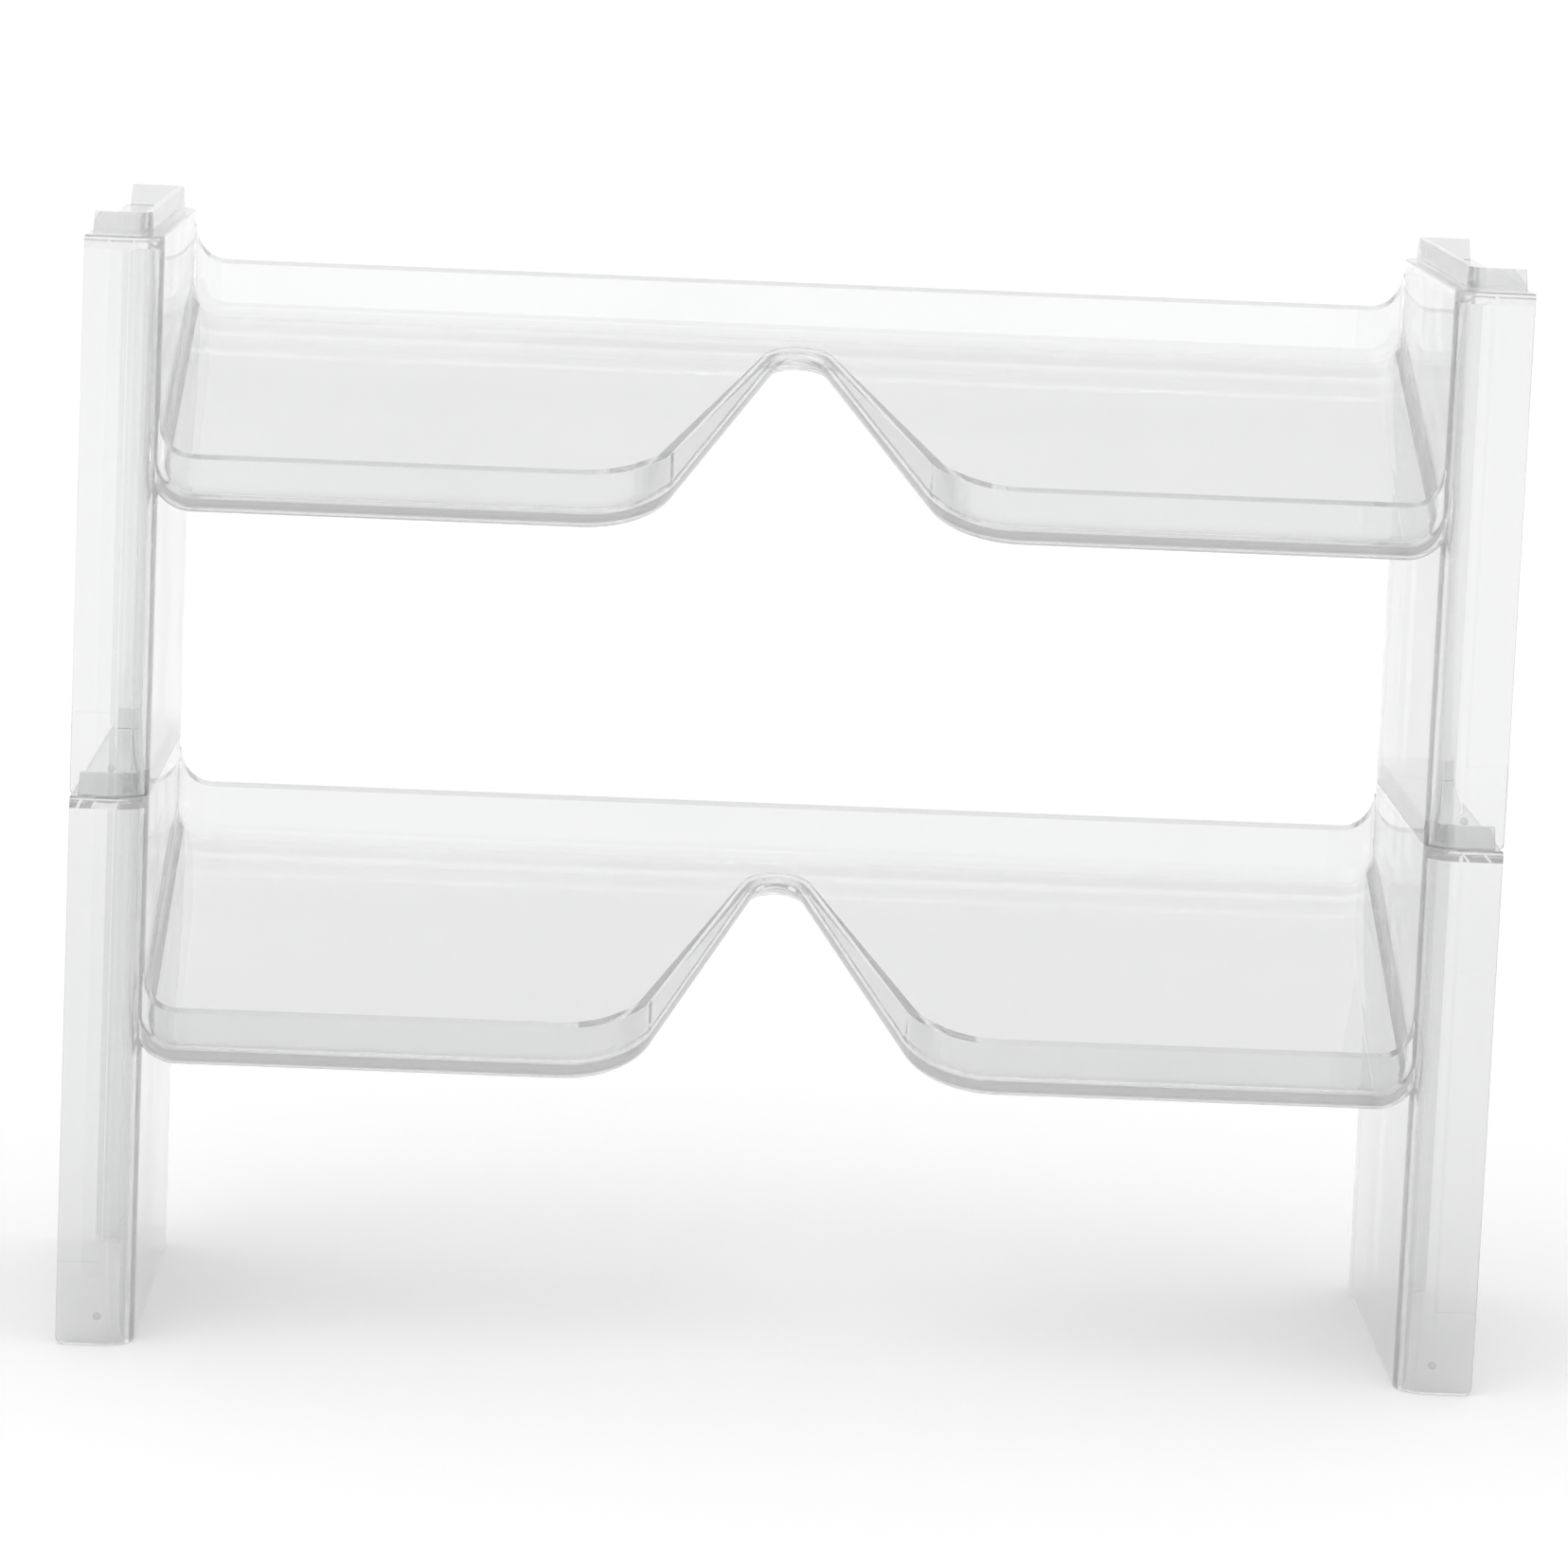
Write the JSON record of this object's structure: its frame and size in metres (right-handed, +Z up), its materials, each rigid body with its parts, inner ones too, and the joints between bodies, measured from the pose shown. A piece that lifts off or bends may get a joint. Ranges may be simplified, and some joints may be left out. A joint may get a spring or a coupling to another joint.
{
  "type": "eyeglasses display stand",
  "caption": "Stackable clear plastic stand for eyeglasses: hollow end legs carry a shallow sloping tray with a nose notch in its front lip.",
  "frame": {"origin": "centre of the footprint, on the surface that the lower tier's feet stand on", "axes": "+X to the right along the trays, +Y towards the back, where the trays are highest, +Z up"},
  "size_m": [0.175, 0.0608, 0.1392],
  "materials": {
    "clear_plastic": "clear, colourless, glossy injection-moulded polystyrene"
  },
  "bodies": {
    "lower_tier": {"lower_tier": "clear_plastic"},
    "upper_tier": {"upper_tier": "clear_plastic"}
  },
  "joints": [
    {"name": "upper_tier_lift", "type": "slide", "parent": "lower_tier", "child": "upper_tier", "axis": [0, 0, 1], "range_m": [0, 0.012]}
  ]
}
